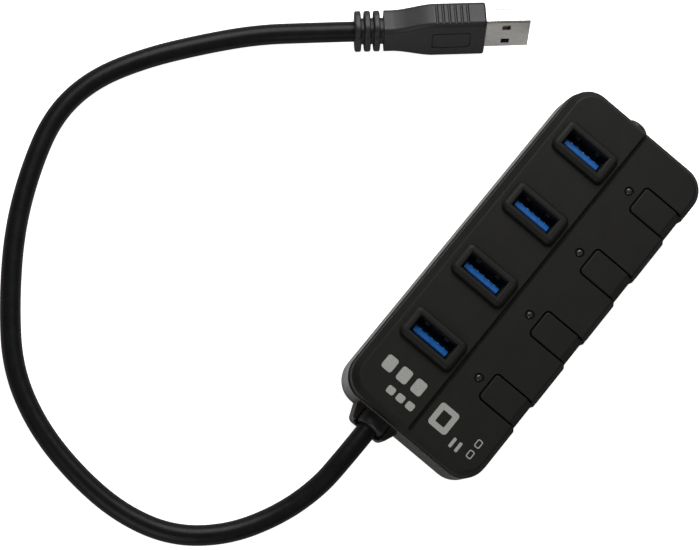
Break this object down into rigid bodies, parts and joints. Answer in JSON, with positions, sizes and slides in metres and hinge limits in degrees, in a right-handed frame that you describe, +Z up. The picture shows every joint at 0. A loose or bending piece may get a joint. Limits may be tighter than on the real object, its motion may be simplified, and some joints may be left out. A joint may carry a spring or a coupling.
{
  "type": "usb hub",
  "caption": "Slim black desktop hub: upward-facing sockets with blue tongues along one side, wrap-over push switches with indicator lamps along the other, short captive cable and plug.",
  "frame": {"origin": "on the surface the feet stand on, under the middle of the whole length of the case with its power jack and cable boss", "axes": "+X along the case towards the power jack, +Y towards the row of sockets, +Z up"},
  "size_m": [0.1794, 0.1523, 0.0214],
  "materials": {
    "case_matt": "fine matt texture, black",
    "case_gloss": "semi-gloss black",
    "foot_rubber": "matt black",
    "steel": "plain",
    "board_green": "green solder mask",
    "chip_black": "moulded epoxy",
    "capacitor_can": "satin",
    "fuse_green": "moulded",
    "ceramic": "fired ceramic",
    "led_white": "translucent white",
    "jack_black": "moulded black",
    "gold": "gold plated",
    "soft_black": "soft matt black",
    "jacket_black": "smooth black jacket",
    "wire_insulation": "coloured insulation",
    "nickel": "nickel plated",
    "insulator_blue": "moulded blue",
    "switch_black": "moulded black",
    "switch_white": "moulded white",
    "clear_plastic": "clear, polished"
  },
  "bodies": {
    "housing": {"upper_shell": "case_matt", "lower_shell": "case_gloss", "rubber_feet": "foot_rubber", "case_screws": "steel", "circuit_board": "board_green", "hub_chip": "chip_black", "crystal": "steel", "bulk_capacitors": "capacitor_can", "port_fuses": "fuse_green", "small_chip_parts": "ceramic", "indicator_leds": "led_white", "jack_body": "jack_black", "jack_pin": "gold", "jack_contact": "steel", "strain_relief": "soft_black", "cable": "jacket_black", "cable_tail": "jacket_black", "lead_wires": "wire_insulation", "plug_overmold": "soft_black", "plug_shell": "nickel", "plug_tongue": "insulator_blue", "plug_contacts": "gold", "port_shell_1": "nickel", "port_tongue_1": "insulator_blue", "port_contacts_1": "gold", "switch_body_1": "switch_black", "switch_spring_1": "steel", "light_pipe_1": "clear_plastic", "port_shell_2": "nickel", "port_tongue_2": "insulator_blue", "port_contacts_2": "gold", "switch_body_2": "switch_black", "switch_spring_2": "steel", "light_pipe_2": "clear_plastic", "port_shell_3": "nickel", "port_tongue_3": "insulator_blue", "port_contacts_3": "gold", "switch_body_3": "switch_black", "switch_spring_3": "steel", "light_pipe_3": "clear_plastic", "port_shell_4": "nickel", "port_tongue_4": "insulator_blue", "port_contacts_4": "gold", "switch_body_4": "switch_black", "switch_spring_4": "steel", "light_pipe_4": "clear_plastic"},
    "button_1": {"button_cap_1": "case_matt", "switch_plunger_1": "switch_white"},
    "button_2": {"button_cap_2": "case_matt", "switch_plunger_2": "switch_white"},
    "button_3": {"button_cap_3": "case_matt", "switch_plunger_3": "switch_white"},
    "button_4": {"button_cap_4": "case_matt", "switch_plunger_4": "switch_white"}
  },
  "joints": [
    {"name": "button_1_press", "type": "slide", "parent": "housing", "child": "button_1", "axis": [0, 0, -1], "range_m": [0, 0.0014], "stiffness_N_per_m": 900, "deforming": ["switch_spring_1"]},
    {"name": "button_2_press", "type": "slide", "parent": "housing", "child": "button_2", "axis": [0, 0, -1], "range_m": [0, 0.0014], "stiffness_N_per_m": 900, "deforming": ["switch_spring_2"]},
    {"name": "button_3_press", "type": "slide", "parent": "housing", "child": "button_3", "axis": [0, 0, -1], "range_m": [0, 0.0014], "stiffness_N_per_m": 900, "deforming": ["switch_spring_3"]},
    {"name": "button_4_press", "type": "slide", "parent": "housing", "child": "button_4", "axis": [0, 0, -1], "range_m": [0, 0.0014], "stiffness_N_per_m": 900, "deforming": ["switch_spring_4"]}
  ]
}
